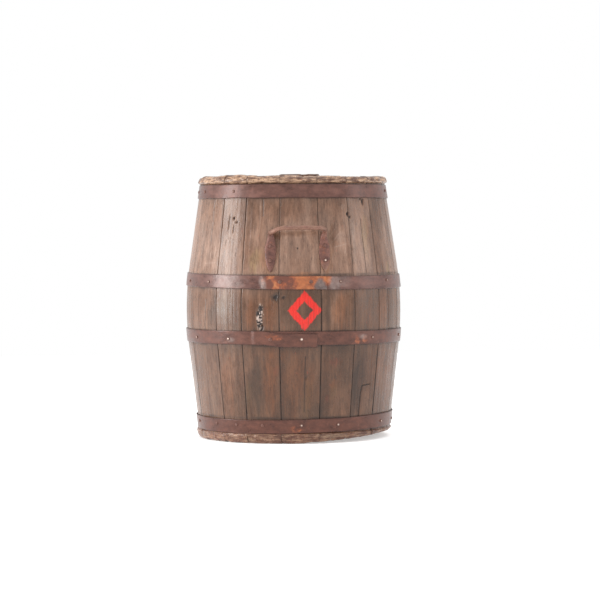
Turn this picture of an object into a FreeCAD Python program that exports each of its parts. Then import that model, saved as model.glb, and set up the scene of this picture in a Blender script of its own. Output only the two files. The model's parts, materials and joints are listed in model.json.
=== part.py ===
"""A small oak wine barrel of about 80 litres, with iron hoops and two forged carrying handles.

Millimetres. +Z runs up the barrel's axis and the origin is the centre of the base.
Angles round the barrel start at the front (-Y) and grow towards +X, so the front handle
is close to 0 degrees and the bung is near the back handle, close to 180.
"""

import FreeCAD
import Part

import math
import os

from FreeCAD import Vector

# ---- driving dimensions ------------------------------------------------------------------

HEIGHT = 631.5
STAVE_THICKNESS = 24.0

# Outside of the staves: an arc over the bilge, running into a straight cone at each end.
BILGE_RADIUS = 256.5
BILGE_HEIGHT = 305.0
BILGE_ARC = 720.0
TOP_TAPER = 8.5
BOTTOM_TAPER = 6.5

# Chimes: past each end hoop the staves stand out as a lip, which starts at a seat height.
BOTTOM_SEAT = 26.5
TOP_SEAT = 602.0
BOTTOM_LIP_RADIUS = 233.5
TOP_LIP_RADIUS = 226.0
LIP_CORNER = 4.0
LIP_SLOPE = 3.0
CHIME_BEVEL = 8.0

# The croze is the groove that holds a head. Its height is that of its edge near the chime.
BOTTOM_CROZE = 38.0
TOP_CROZE = 582.0
CROZE_WIDTH = 6.0
CROZE_DEPTH = 6.0
CROZE_CLEARANCE = 0.3

# The staves, counted from the one behind the front handle: the width of each in degrees,
# and how far its top end and its bottom end are worn down.
STAVES = (
    (22.0, 11.5, 0.0), (19.3, 12.0, 5.0), (17.7, 12.0, 9.0), (21.5, 12.5, 12.5),
    (18.0, 12.0, 14.5), (16.5, 11.5, 10.0), (19.0, 10.0, 5.0), (17.0, 10.5, 0.0),
    (19.0, 7.5, 0.0), (26.5, 0.0, 0.0), (20.5, 8.0, 0.0), (19.0, 11.0, 0.0),
    (21.5, 9.5, 0.0), (18.5, 11.5, 0.0), (21.0, 11.0, 0.0), (25.7, 9.0, 0.0),
    (16.6, 5.5, 0.0), (20.7, 10.5, 0.0),
)
FIRST_SEAM = -11.0
BUNG_STAVE = 10
BUNG_ANGLE = 172.0
STAVE_GAP = 0.08

HEAD_THICKNESS = 20.0
HEAD_TONGUE = 7.5
HEAD_BEVEL = 10.0
HEAD_BOARDS = (58.0, 72.0, 78.0, 70.0, 76.0, 60.0)
BOARD_GAP = 0.3
TOP_HEAD_TURN = 24.0
BOTTOM_HEAD_TURN = -37.0
DOWEL_RADIUS = 4.0
DOWEL_LENGTH = 36.0
DOWEL_SPREAD = 0.45

HOOP_THICKNESS = 2.5
HOOP_CLEARANCE = 0.3
LAP_CLEARANCE = 0.1
LAP_RAMP = 3.0
LAP_LENGTH = 32.0
LAP_RIVET_SHARES = (0.25, 0.75)

NAIL_RADIUS = 1.6
NAIL_LENGTH = 18.0
NAIL_HEAD_RADIUS = 4.2
NAIL_HEAD_HEIGHT = 2.2
RIVET_RADIUS = 2.6
RIVET_HEAD_RADIUS = 5.0
RIVET_HEAD_HEIGHT = 2.4
SHANK_CLEARANCE = 0.05
HEAD_GAP = 0.1
DRILL_START = 1.0

# A pin's head: the share of its radius that is hammered flat, and the point its dome goes
# through, as shares of its radius and its height.
CROWN_SHARE = 0.3
DOME_SHARES = (0.76, 0.64)

# Each hoop: its name, lowest and highest edge, the angle where its lap starts,
# and the angles of the nails that hold it to the staves.
HOOPS = (
    ("top_chime_hoop", 569.5, 601.5, 217.0,
     (-70.5, -41, 73, 96, 131, 150, 172, 196, 274)),
    ("upper_bilge_hoop", 360.0, 391.5, -18.4,
     (-76.5, -54, 21.7, 55.4, 114, 150, 172, 196, 236, 256)),
    ("lower_bilge_hoop", 228.5, 260.5, -23.5,
     (-66, -39.6, 42, 72.5, 114, 131, 172, 215, 236, 256)),
    ("bottom_chime_hoop", 27.5, 60.0, 127.0,
     (-77.4, -54.4, -38.6, -21.8, 0.5, 22, 56.8, 78, 97, 113, 172, 196, 215, 236, 256)),
)

# The handle: sections along half of its centreline, from the tip of one leg to the middle
# of the grip. Each is (height, stand-off from the staves, distance from the middle, width,
# thickness). A leg lies on the staves at HANDLE_LEG_ANGLE, and the finished handle is
# turned round the barrel by HANDLE_TURN.
HANDLE_LEG_ANGLE = 14.7
HANDLE_TURN = -1.0
HANDLE_SECTIONS = (
    (398.0, 0.0, None, 2.0, 3.0),
    (404.0, 0.0, None, 11.0, 6.5),
    (416.0, 0.0, None, 21.0, 9.0),
    (434.0, 0.0, None, 27.0, 10.0),
    (452.0, 0.0, None, 27.5, 10.0),
    (468.0, 0.5, None, 22.0, 10.5),
    (480.0, 3.0, None, 15.5, 11.5),
    (490.0, 11.0, None, 12.0, 11.5),
    (496.0, 24.0, 58.5, 11.5, 11.0),
    (499.0, 36.0, 51.0, 11.0, 10.5),
    (500.5, 41.5, 37.0, 11.5, 10.0),
    (501.0, 42.0, 18.0, 12.5, 10.0),
    (501.0, 42.0, 0.0, 13.0, 10.0),
)

# The nails through a leg. Each head lies in a flat seat, sunk below the leg's front.
HANDLE_NAIL_HEIGHTS = (425.0, 458.0)
HANDLE_NAIL_RADIUS = 2.2
HANDLE_NAIL_LENGTH = 20.0
HANDLE_NAIL_HEAD = 4.8
HANDLE_NAIL_HEAD_HEIGHT = 2.4
HANDLE_NAIL_SINK = 0.8
HANDLE_NAIL_SEAT = 5.2

BUNG_RADIUS = 26.0
BUNG_TIP_RADIUS = 23.0
BUNG_LENGTH = 42.0
BUNG_PROUD = 8.0
BUNG_CHAMFER = 2.5
BUNG_CLEARANCE = 0.3

AXIS = Vector(0, 0, 1)
ACROSS = Vector(1, 0, 0)
CENTRE = Vector(0, 0, 0)


# ---- the barrel's side -------------------------------------------------------------------

def tangent_point(taper, depth):
    """Where the bilge arc meets a cone, depth under the outside, as (radius, height)."""
    angle = math.radians(taper)
    arc = BILGE_ARC - depth
    return (BILGE_RADIUS - BILGE_ARC + arc * math.cos(angle),
            BILGE_HEIGHT + arc * math.sin(angle))


def side_radius(z, depth=0.0):
    """Radius at height z of the surface that lies depth under the staves' outside."""
    top_r, top_z = tangent_point(TOP_TAPER, depth)
    bottom_r, bottom_z = tangent_point(-BOTTOM_TAPER, depth)
    if z > top_z:
        return top_r - (z - top_z) * math.tan(math.radians(TOP_TAPER))
    if z < bottom_z:
        return bottom_r - (bottom_z - z) * math.tan(math.radians(BOTTOM_TAPER))
    arc = BILGE_ARC - depth
    return BILGE_RADIUS - BILGE_ARC + math.sqrt(arc ** 2 - (z - BILGE_HEIGHT) ** 2)


def side_tilt(z):
    """How far the side leans in at height z, in degrees."""
    leaning = math.degrees(math.asin((z - BILGE_HEIGHT) / BILGE_ARC))
    return max(-BOTTOM_TAPER, min(TOP_TAPER, leaning))


def direction(angle):
    """Unit vector out of the barrel at an angle round it."""
    turn = math.radians(angle)
    return Vector(math.sin(turn), -math.cos(turn), 0)


def on_side(angle, z, out=0.0):
    """Placement on the barrel's side, with its own +Z square to the surface."""
    tilt = FreeCAD.Rotation(Vector(0, 1, 0), 90 - side_tilt(z))
    turn = FreeCAD.Rotation(AXIS, angle - 90)
    rotation = turn.multiply(tilt)
    place = direction(angle) * side_radius(z) + AXIS * z
    return FreeCAD.Placement(place + rotation.multVec(AXIS) * out, rotation)


def profile_wire(outline):
    """Closed wire in the XZ plane. An outline's item is a (radius, height) corner, or
    ("arc", middle) for an arc from the corner before it to the corner after it."""
    def point(corner):
        return Vector(corner[0], 0, corner[1])

    edges = []
    last = outline[0]
    middle = None
    for item in list(outline[1:]) + [outline[0]]:
        if item[0] == "arc":
            middle = item[1]
            continue
        if middle:
            edges.append(Part.Arc(point(last), point(middle), point(item)).toShape())
        else:
            edges.append(Part.makeLine(point(last), point(item)))
        last = item
        middle = None
    return Part.Wire(edges)


def turned(outline, start=-180.0, sweep=360.0):
    """Solid of revolution of an outline, from a start angle round the barrel."""
    face = Part.Face(profile_wire(outline))
    face.rotate(CENTRE, AXIS, start - 90)
    return face.revolve(CENTRE, AXIS, sweep)


def bilge_arc(depth):
    return ("arc", (side_radius(BILGE_HEIGHT, depth), BILGE_HEIGHT))


def lip(end, seat, lip_radius):
    """Outer corners of a chime, from the end of the staves to the seat by the hoop."""
    inwards = math.copysign(1, seat - end)
    return [
        (lip_radius - LIP_CORNER, end),
        (lip_radius, end + inwards * LIP_CORNER),
        (lip_radius, seat - inwards * LIP_SLOPE),
        (side_radius(seat), seat),
    ]


def croze(end, start):
    """Inner corners at an end of the staves: the bevel, and the groove that starts there."""
    stop = start + math.copysign(CROZE_WIDTH, start - end)
    wall = side_radius(start, STAVE_THICKNESS)
    return [
        (wall + CHIME_BEVEL, end),
        (wall, start),
        (wall + CROZE_DEPTH, start),
        (wall + CROZE_DEPTH, stop),
        (side_radius(stop, STAVE_THICKNESS), stop),
    ]


def stave_outline(bottom, top):
    outside = (
        lip(bottom, BOTTOM_SEAT, BOTTOM_LIP_RADIUS)
        + [tangent_point(-BOTTOM_TAPER, 0.0), bilge_arc(0.0), tangent_point(TOP_TAPER, 0.0)]
        + lip(top, TOP_SEAT, TOP_LIP_RADIUS)[::-1]
    )
    inside = (
        croze(top, TOP_CROZE)
        + [tangent_point(TOP_TAPER, STAVE_THICKNESS), bilge_arc(STAVE_THICKNESS),
           tangent_point(-BOTTOM_TAPER, STAVE_THICKNESS)]
        + croze(bottom, BOTTOM_CROZE)[::-1]
    )
    return outside + inside


def solid_core():
    """The whole space inside the staves' outside, less the lips."""
    return turned(
        [(0, 0), (side_radius(0.0), 0), tangent_point(-BOTTOM_TAPER, 0.0), bilge_arc(0.0),
         tangent_point(TOP_TAPER, 0.0), (side_radius(HEIGHT), HEIGHT), (0, HEIGHT)]
    )


# ---- fasteners ---------------------------------------------------------------------------

def headed_pin(radius, length, head_radius, head_height):
    """A round shank pointing down -Z from the origin, with a head that is domed and
    hammered flat on its crown."""
    outline = [
        (0, -length), (radius, -length), (radius, 0), (head_radius, 0),
        ("arc", (head_radius * DOME_SHARES[0], head_height * DOME_SHARES[1])),
        (head_radius * CROWN_SHARE, head_height), (0, head_height),
    ]
    return Part.Face(profile_wire(outline)).revolve(CENTRE, AXIS, 360)


def drill(radius, depth):
    """The space that a pin's shank needs, with clearance, from just above the origin down."""
    bottom = depth + SHANK_CLEARANCE
    return Part.makeCylinder(
        radius + SHANK_CLEARANCE, bottom + DRILL_START, Vector(0, 0, -bottom), AXIS
    )


def set_pins(places, pin):
    return [pin.transformed(place.toMatrix()) for place in places]


def cut_all(solid, tools):
    near = [tool for tool in tools if tool.BoundBox.intersect(solid.BoundBox)]
    return solid.cut(near) if near else solid


# ---- hoops -------------------------------------------------------------------------------

def strip_wire(inner_radius, z, lap_start):
    """Plan outline at height z of a strip bent round once, its last end over its first."""
    step = HOOP_THICKNESS + LAP_CLEARANCE
    under = inner_radius
    over = inner_radius + step

    def spot(radius, angle):
        return direction(lap_start + angle) * radius + AXIS * z

    def bend(radius, start, stop):
        middle = (start + stop) / 2
        return Part.Arc(spot(radius, start), spot(radius, middle), spot(radius, stop)).toShape()

    full = 360.0
    far = full - LAP_RAMP
    half = far / 2
    end = full + LAP_LENGTH
    outer = under + HOOP_THICKNESS
    top = over + HOOP_THICKNESS
    return Part.Wire([
        bend(under, 0, half),
        bend(under, half, far),
        Part.makeLine(spot(under, far), spot(over, full)),
        bend(over, full, end),
        Part.makeLine(spot(over, end), spot(top, end)),
        bend(top, end, full),
        Part.makeLine(spot(top, full), spot(outer, far)),
        bend(outer, far, half),
        bend(outer, half, 0),
        Part.makeLine(spot(outer, 0), spot(under, 0)),
    ])


def hoop(low, high, lap_start):
    wires = [
        strip_wire(side_radius(z) + HOOP_CLEARANCE, z, lap_start) for z in (low, high)
    ]
    return Part.makeLoft(wires, True, True)


def lap_rivet_angles(lap_start):
    return [lap_start + LAP_LENGTH * share for share in LAP_RIVET_SHARES]


# ---- handles -----------------------------------------------------------------------------

def handle_centreline():
    """Centre points, widths and thicknesses of the whole handle, from leg tip to leg tip."""
    half = []
    for height, out, across, width, thickness in HANDLE_SECTIONS:
        radius = side_radius(height) + out
        if across is None:
            point = direction(HANDLE_LEG_ANGLE) * radius + AXIS * height
        else:
            point = Vector(across, -radius, height)
        half.append((point, width, thickness))
    mirrored = [
        (Vector(-point.x, point.y, point.z), width, thickness)
        for point, width, thickness in half[:-1]
    ]
    return half + mirrored[::-1]


def handle_sections():
    """Ellipses square to the centreline, whose wide axis is carried along without twist."""
    points = handle_centreline()
    curve = Part.BSplineCurve()
    curve.interpolate([point for point, _, _ in points])
    across = direction(HANDLE_LEG_ANGLE + 90)
    wires = []
    for point, width, thickness in points:
        along = curve.tangent(curve.parameter(point))[0].normalize()
        across = (across - along * across.dot(along)).normalize()
        through = along.cross(across)
        wide, thin = (across, through) if width >= thickness else (through, across)
        ellipse = Part.Ellipse(
            point + wide * max(width, thickness) / 2,
            point + thin * min(width, thickness) / 2,
            point,
        )
        wires.append(Part.Wire([ellipse.toShape()]))
    return wires


def handle_nail_places():
    return [
        on_side(side * HANDLE_LEG_ANGLE, height, handle_leg_height(height) - HANDLE_NAIL_SINK)
        for side in (-1, 1)
        for height in HANDLE_NAIL_HEIGHTS
    ]


def handle_leg_height(height):
    """How far a leg's front stands off the staves at a height."""
    legs = [s for s in HANDLE_SECTIONS if s[2] is None]
    for low, high in zip(legs, legs[1:]):
        if low[0] <= height <= high[0]:
            share = (height - low[0]) / (high[0] - low[0])
            return (low[4] + share * (high[4] - low[4])) / 2
    return 0.0


# ---- heads -------------------------------------------------------------------------------

def head_outline(croze_edge, inwards):
    """Outline of a whole head: a flat board whose bevelled edge ends in a tongue.
    inwards is +1 when the barrel's middle lies above the head, and -1 when below."""
    start = croze_edge + inwards * CROZE_CLEARANCE
    stop = croze_edge + inwards * (CROZE_WIDTH - CROZE_CLEARANCE)
    rim = side_radius(croze_edge, STAVE_THICKNESS) + CROZE_DEPTH - CROZE_CLEARANCE
    neck = rim - HEAD_TONGUE
    shoulder = neck - HEAD_BEVEL
    spare = inwards * (HEAD_THICKNESS - CROZE_WIDTH) / 2
    return [
        (0, start - spare),
        (shoulder, start - spare),
        (neck, start),
        (rim, start),
        (rim, stop),
        (neck, stop),
        (shoulder, stop + spare),
        (0, stop + spare),
    ]


def board_joints():
    """Places of the joints between a head's boards, from one side to the other."""
    place = -sum(HEAD_BOARDS) / 2
    joints = []
    for width in HEAD_BOARDS[:-1]:
        place += width
        joints.append(place)
    return joints


def make_head(croze_edge, inwards, turn):
    """A head's boards and its dowels, each as separate solids."""
    disc = turned(head_outline(croze_edge, inwards))
    rim = disc.BoundBox.XMax
    middle = disc.BoundBox.Center.z
    dowels = []
    holes = []
    for joint in board_joints():
        half_chord = math.sqrt(rim ** 2 - joint ** 2)
        for side in (-1, 1):
            for items, spare in ((dowels, 0.0), (holes, SHANK_CLEARANCE)):
                length = DOWEL_LENGTH + 2 * spare
                start = Vector(joint - length / 2, side * half_chord * DOWEL_SPREAD, middle)
                items.append(Part.makeCylinder(DOWEL_RADIUS + spare, length, start, ACROSS))
    edges = [-rim] + board_joints() + [rim]
    boards = []
    for left, right in zip(edges, edges[1:]):
        slab = Part.makeBox(
            right - left - BOARD_GAP, 2 * rim, HEAD_THICKNESS,
            Vector(left + BOARD_GAP / 2, -rim, middle - HEAD_THICKNESS / 2),
        )
        boards.append(cut_all(disc.common(slab), holes))
    for shape in boards + dowels:
        shape.rotate(CENTRE, AXIS, turn)
    return boards, dowels


# ---- bung --------------------------------------------------------------------------------

def bung_cone(inner, outer, spare):
    """The bung's cone between two distances from the barrel's axis, grown by spare."""
    tip = BILGE_RADIUS + BUNG_PROUD - BUNG_LENGTH
    slope = (BUNG_RADIUS - BUNG_TIP_RADIUS) / BUNG_LENGTH
    outwards = direction(BUNG_ANGLE)
    return Part.makeCone(
        BUNG_TIP_RADIUS + spare + slope * (inner - tip),
        BUNG_TIP_RADIUS + spare + slope * (outer - tip),
        outer - inner, outwards * inner + AXIS * BILGE_HEIGHT, outwards,
    )


def bung_hole():
    wall = BILGE_RADIUS - STAVE_THICKNESS
    return bung_cone(wall - BUNG_LENGTH, BILGE_RADIUS + BUNG_LENGTH, BUNG_CLEARANCE)


def make_bung():
    outer = BILGE_RADIUS + BUNG_PROUD
    plug = bung_cone(outer - BUNG_LENGTH, outer, 0.0)
    rims = [edge for edge in plug.Edges if edge.Closed]
    return plug.makeChamfer(BUNG_CHAMFER, rims)


# ---- the whole barrel --------------------------------------------------------------------

def save(name, shapes):
    solids = [solid for shape in shapes for solid in shape.Solids]
    shape = solids[0] if len(solids) == 1 else Part.Compound(solids)
    shape.exportStep(f"parts/{name}.step")
    sound = all(solid.isValid() and solid.Volume > 0 for solid in solids)
    print(f"{name}: {len(solids)} solids, {sum(s.Volume for s in solids) / 1000:.1f} cm3",
          "" if sound else "NOT VALID")


def turned_by(angle, shapes):
    """The same shapes turned round the barrel."""
    turned_round = [shape.copy() for shape in shapes]
    for shape in turned_round:
        shape.rotate(CENTRE, AXIS, angle)
    return turned_round


def make_hoops():
    """Saves each hoop with its nails and lap rivets, and returns the nails' holes."""
    nail = headed_pin(NAIL_RADIUS, NAIL_LENGTH, NAIL_HEAD_RADIUS, NAIL_HEAD_HEIGHT)
    lap_depth = 2 * HOOP_THICKNESS + LAP_CLEARANCE
    rivet = headed_pin(RIVET_RADIUS, lap_depth, RIVET_HEAD_RADIUS, RIVET_HEAD_HEIGHT)
    stave_holes = []
    for name, low, high, lap_start, nail_angles in HOOPS:
        middle = (low + high) / 2
        face = HOOP_CLEARANCE + HOOP_THICKNESS
        nail_places = [on_side(angle, middle, face + HEAD_GAP) for angle in nail_angles]
        rivet_places = [
            on_side(angle, middle, HOOP_CLEARANCE + lap_depth + HEAD_GAP)
            for angle in lap_rivet_angles(lap_start)
        ]
        nail_drills = set_pins(nail_places, drill(NAIL_RADIUS, NAIL_LENGTH))
        rivet_drills = set_pins(rivet_places, drill(RIVET_RADIUS, lap_depth))
        band = cut_all(hoop(low, high, lap_start), nail_drills + rivet_drills)
        save(name, [band])
        save(name + "_nails", set_pins(nail_places, nail))
        save(name + "_lap_rivets", set_pins(rivet_places, rivet))
        stave_holes += nail_drills
    return stave_holes


def make_handles():
    """Saves both handles with their nails, and returns the nails' holes."""
    nail = headed_pin(
        HANDLE_NAIL_RADIUS, HANDLE_NAIL_LENGTH, HANDLE_NAIL_HEAD, HANDLE_NAIL_HEAD_HEIGHT
    )
    places = handle_nail_places()
    drills = set_pins(places, drill(HANDLE_NAIL_RADIUS, HANDLE_NAIL_LENGTH))
    seats = set_pins(places, Part.makeCylinder(HANDLE_NAIL_SEAT, 2 * HANDLE_NAIL_HEAD_HEIGHT))
    nails = set_pins(places, nail)
    forging = Part.makeLoft(handle_sections(), True)
    handle = cut_all(forging.cut(solid_core()), drills + seats)
    stave_holes = []
    for name, turn in (("front_handle", HANDLE_TURN), ("back_handle", HANDLE_TURN + 180)):
        save(name, turned_by(turn, [handle]))
        save(name + "_nails", turned_by(turn, nails))
        stave_holes += turned_by(turn, drills)
    return stave_holes


def make_staves(holes):
    start = FIRST_SEAM
    for number, (width, top_wear, bottom_wear) in enumerate(STAVES, 1):
        outline = stave_outline(bottom_wear, HEIGHT - top_wear)
        stave = turned(outline, start + STAVE_GAP / 2, width - STAVE_GAP)
        tools = list(holes)
        if number == BUNG_STAVE:
            tools.append(bung_hole())
        save(f"stave_{number:02d}", [cut_all(stave, tools)])
        start += width


def make_heads():
    for name, croze_edge, inwards, turn in (
        ("top_head", TOP_CROZE, -1, TOP_HEAD_TURN),
        ("bottom_head", BOTTOM_CROZE, 1, BOTTOM_HEAD_TURN),
    ):
        boards, dowels = make_head(croze_edge, inwards, turn)
        for number, board in enumerate(boards, 1):
            save(f"{name}_board_{number}", [board])
        save(f"{name}_dowels", dowels)


def main():
    os.makedirs("parts", exist_ok=True)
    holes = make_hoops() + make_handles()
    make_staves(holes)
    make_heads()
    save("bung", [make_bung()])


main()
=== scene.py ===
import json
from math import atan2, cos, pi, radians, sin

import bpy
import numpy as np
from mathutils import Euler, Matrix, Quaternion, Vector


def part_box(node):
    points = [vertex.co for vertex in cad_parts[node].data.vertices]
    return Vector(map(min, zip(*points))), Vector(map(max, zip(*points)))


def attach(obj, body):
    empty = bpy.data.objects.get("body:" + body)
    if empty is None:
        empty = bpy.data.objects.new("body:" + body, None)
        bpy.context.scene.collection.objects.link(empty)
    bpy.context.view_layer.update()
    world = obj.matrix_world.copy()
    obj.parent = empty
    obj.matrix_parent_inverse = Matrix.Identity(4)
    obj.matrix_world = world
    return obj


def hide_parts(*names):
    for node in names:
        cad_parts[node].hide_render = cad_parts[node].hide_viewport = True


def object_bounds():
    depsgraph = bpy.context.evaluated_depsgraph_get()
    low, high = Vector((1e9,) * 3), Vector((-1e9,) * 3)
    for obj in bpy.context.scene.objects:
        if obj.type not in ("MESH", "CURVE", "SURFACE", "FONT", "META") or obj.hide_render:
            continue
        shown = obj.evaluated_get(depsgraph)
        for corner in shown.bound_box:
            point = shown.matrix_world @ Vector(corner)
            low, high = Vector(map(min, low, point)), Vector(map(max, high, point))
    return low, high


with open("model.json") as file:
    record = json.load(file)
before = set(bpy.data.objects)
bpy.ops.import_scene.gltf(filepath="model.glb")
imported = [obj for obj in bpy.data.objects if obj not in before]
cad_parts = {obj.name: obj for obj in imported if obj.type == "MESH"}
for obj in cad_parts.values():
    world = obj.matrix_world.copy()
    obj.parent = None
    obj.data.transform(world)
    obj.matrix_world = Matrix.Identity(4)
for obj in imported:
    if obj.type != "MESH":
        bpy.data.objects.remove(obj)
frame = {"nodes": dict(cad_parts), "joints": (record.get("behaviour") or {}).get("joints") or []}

# Metres, but the tables of marks are in degrees and millimetres. Angles round the barrel
# start at the front (-Y) and grow towards +X.
# x is a distance round the barrel, from a stave's first seam or from the start of a hoop's
# lap, and z is the height.

CAD_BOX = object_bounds()
CASK = "cask"
STAVES = [f"stave_{number:02d}" for number in range(1, 19)]
BUNG_STAVE = "stave_10"
# The hoops from top to bottom. tilt: how much higher each sits at the right and at the front
# than in the middle. droop: how far its loose end hangs below its place. brown: how brown its
# rust is. shine: how bright its nails are.
HOOPS = {
    "top_chime_hoop": {"tilt": (-0.0008, 0), "droop": 0, "brown": 0.35, "shine": 0.1},
    "upper_bilge_hoop": {"tilt": (-0.0035, -0.0015), "droop": 0, "brown": 0.1, "shine": 0.35},
    "lower_bilge_hoop": {"tilt": (-0.002, 0.0015), "droop": 0.0048, "brown": 0.9, "shine": 1},
    "bottom_chime_hoop": {"tilt": (0.0036, -0.003), "droop": 0, "brown": 1, "shine": 0.7},
}
HANDLES = ("front_handle", "back_handle")
HANDLE_NAIL_SHINE = 2.0
HEADS = ("top_head", "bottom_head")
HEAD_BOARDS = 6

# How high the barrel is widest, and how far from there its wall is measured.
BILGE_HEIGHT = 0.305
BILGE_BAND = 0.03
FULL_HEIGHT = CAD_BOX[1].z
FULL_TURN = 2 * pi

SEED = np.random.default_rng(11)

CAMERA_DISTANCE = 5.88
CAMERA_HEIGHT = 0.525
CAMERA_AZIMUTH = -3.5
CAMERA_PITCH = -1.94
CAMERA_YAW = -0.152
CAMERA_ROLL = -0.45
CAMERA_LENS = 147.0
SENSOR_WIDTH = 36.0

FLOOR_HALF = 3.5
FLOOR_GLOW = 0.4
# Lamps: name, place, what each points at, width and height, and power in watts.
LAMPS = (
    ("window", (-3.2, -0.4, 0.75), (0, 0, 0.33), (1.2, 2.6), 92),
    ("door", (3.2, -0.6, 0.9), (0, 0, 0.35), (1.3, 2.2), 16),
    ("ceiling", (0, -0.5, 4.0), (0, 0, 0), (5.0, 5.0), 90),
)


# ---- reading the frame

def vertex_vectors(mesh, key="co"):
    flat = np.empty(len(mesh.vertices) * 3)
    mesh.vertices.foreach_get(key, flat)
    return flat.reshape(-1, 3)


def mesh_points(node):
    return vertex_vectors(frame["nodes"][node].data)


def radius_of(points):
    return np.hypot(points[:, 0], points[:, 1])


def angle_of(points):
    return np.arctan2(points[:, 0], -points[:, 1])


def wrapped(angle):
    """The same angle between -180 and 180 degrees."""
    return (angle + pi) % FULL_TURN - pi


def heights_of(node):
    low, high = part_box(node)
    return low.z, high.z


def span_of(node):
    """The first and last angle that a node covers round the barrel."""
    points = mesh_points(node)
    middle = points.mean(0)
    turn = atan2(middle[0], -middle[1])
    spread = wrapped(angle_of(points) - turn)
    return turn + spread.min(), turn + spread.max()


def upper_outline(points):
    """Heights and radii of the corners of the widest outline through some points."""
    outline = []
    for place in sorted(zip(points[:, 2], radius_of(points))):
        while len(outline) > 1 and turns_left(outline[-2], outline[-1], place):
            outline.pop()
        outline.append(place)
    return np.array(outline).T


def turns_left(first, middle, last):
    return (
        (middle[0] - first[0]) * (last[1] - first[1])
        >= (middle[1] - first[1]) * (last[0] - first[0])
    )


TOP_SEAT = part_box("top_chime_hoop")[1].z
BOTTOM_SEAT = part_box("bottom_chime_hoop")[0].z
SEAT_STEP = 0.0015
LIP_RISE = 0.007
LIP_SWELL = 0.002
TOP_ROUNDING = (0.011, 0.014)
BOTTOM_ROUNDING = (0.011, 0.018)

STAVE_POINTS = mesh_points(STAVES[0])
STAVE_Z = STAVE_POINTS[:, 2]
STAVE_RADII = radius_of(STAVE_POINTS)
BETWEEN_LIPS = (STAVE_Z > BOTTOM_SEAT - SEAT_STEP) & (STAVE_Z < TOP_SEAT + SEAT_STEP)
OUTER_Z, OUTER_R = upper_outline(STAVE_POINTS[BETWEEN_LIPS])
TOP_LIP = STAVE_RADII[STAVE_Z > TOP_SEAT + SEAT_STEP].max()
BOTTOM_LIP = STAVE_RADII[STAVE_Z < BOTTOM_SEAT - SEAT_STEP].max()
BILGE_RADIUS = OUTER_R.max()


def side_radius(z):
    """The outside of the staves under the hoops, with no lips."""
    return np.interp(z, OUTER_Z, OUTER_R)


def lipped_radius(z, top, bottom):
    """The outside of a stave that ends at these two heights, with a rounded lip at each end."""
    radius = side_radius(z)
    past_top = ramp(z, TOP_SEAT, TOP_SEAT + LIP_RISE)
    radius = radius + (TOP_LIP + LIP_SWELL - radius) * past_top
    past_bottom = ramp(-z, -BOTTOM_SEAT, LIP_RISE - BOTTOM_SEAT)
    radius = radius + (BOTTOM_LIP + LIP_SWELL - radius) * past_bottom
    radius = radius - rounding_off(top - z, TOP_ROUNDING)
    return radius - rounding_off(z - bottom, BOTTOM_ROUNDING)


def rounding_off(from_end, size):
    """What a quarter of an ellipse, size wide and high, takes off near an end."""
    near = np.clip(1 - from_end / size[1], 0, 1)
    return size[0] * (1 - np.sqrt(1 - near ** 2))


def ramp(value, low, high):
    """0 below low, 1 above high, and smooth between them."""
    share = np.clip((value - low) / (high - low), 0, 1)
    return share * share * (3 - 2 * share)


def around(radius, angle, z):
    """Points from their distance to the axis, angle round the barrel and height."""
    return np.stack([radius * np.sin(angle), -radius * np.cos(angle), z + 0 * angle], -1)


# ---- seeded noise

def lattice(i, j, seed):
    """Random numbers from -1 to 1 that depend only on whole-number places and the seed."""
    mask = np.uint64(0xFFFFFFFF)
    mixed = (
        i.astype(np.int64).astype(np.uint64) * np.uint64(374761393)
        + j.astype(np.int64).astype(np.uint64) * np.uint64(668265263)
        + np.uint64(seed * 2654435761 % 2**32)
    ) & mask
    mixed = ((mixed ^ (mixed >> np.uint64(13))) * np.uint64(1274126177)) & mask
    return (mixed ^ (mixed >> np.uint64(16))).astype(float) / 2**31 - 1


def noise(u, v, seed):
    """Smooth noise from -1 to 1 over a plane. u and v are arrays, or one is a number."""
    i, j = np.floor(u), np.floor(v)
    s, t = u - i, v - j
    s, t = s * s * (3 - 2 * s), t * t * (3 - 2 * t)
    low = lattice(i, j, seed) * (1 - s) + lattice(i + 1, j, seed) * s
    high = lattice(i, j + 1, seed) * (1 - s) + lattice(i + 1, j + 1, seed) * s
    return low * (1 - t) + high * t


def layered(u, v, seed, layers=3):
    """Noise with finer and fainter noise added, also from -1 to 1."""
    total = 0
    for layer in range(layers):
        total = total + noise(u * 2**layer, v * 2**layer, seed + 17 * layer) / 2**layer
    return total / (2 - 2.0 ** (1 - layers))


# ---- building meshes

def new_piece(name, rings, material, masks, body=CASK):
    """A smooth-shaded mesh through rings of points, closed at both ends, that rides on a body."""
    mesh = bpy.data.meshes.new(name)
    mesh.from_pydata(rings.reshape(-1, 3).tolist(), [], ring_faces(*rings.shape[:2]))
    mesh.shade_smooth()
    mesh.update()
    mesh.materials.append(material)
    piece = bpy.data.objects.new(name, mesh)
    add_masks(piece, masks)
    bpy.context.scene.collection.objects.link(piece)
    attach(piece, body)
    return piece


def add_masks(piece, masks):
    """Numbers or vectors for a piece's points, or one for them all, that materials can read."""
    count = len(piece.data.vertices)
    for key, values in masks.items():
        is_vector = np.size(values) == 3 * count
        values = np.ravel(values) + np.zeros(3 * count if is_vector else count)
        kind = "FLOAT_VECTOR" if is_vector else "FLOAT"
        layer = piece.data.attributes.new(key, kind, "POINT")
        layer.data.foreach_set("vector" if is_vector else "value", values)


def ring_faces(rings, sides):
    """Quads between rings of points, and a face that closes each end."""
    start = (np.arange(rings - 1)[:, None] * sides + np.arange(sides)).ravel()
    after = (np.arange(rings - 1)[:, None] * sides + (np.arange(sides) + 1) % sides).ravel()
    quads = np.stack([start, after, after + sides, start + sides], 1).tolist()
    last = (rings - 1) * sides
    return quads + [list(range(sides))[::-1], list(range(last, last + sides))]


# ---- marks on the staves

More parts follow.
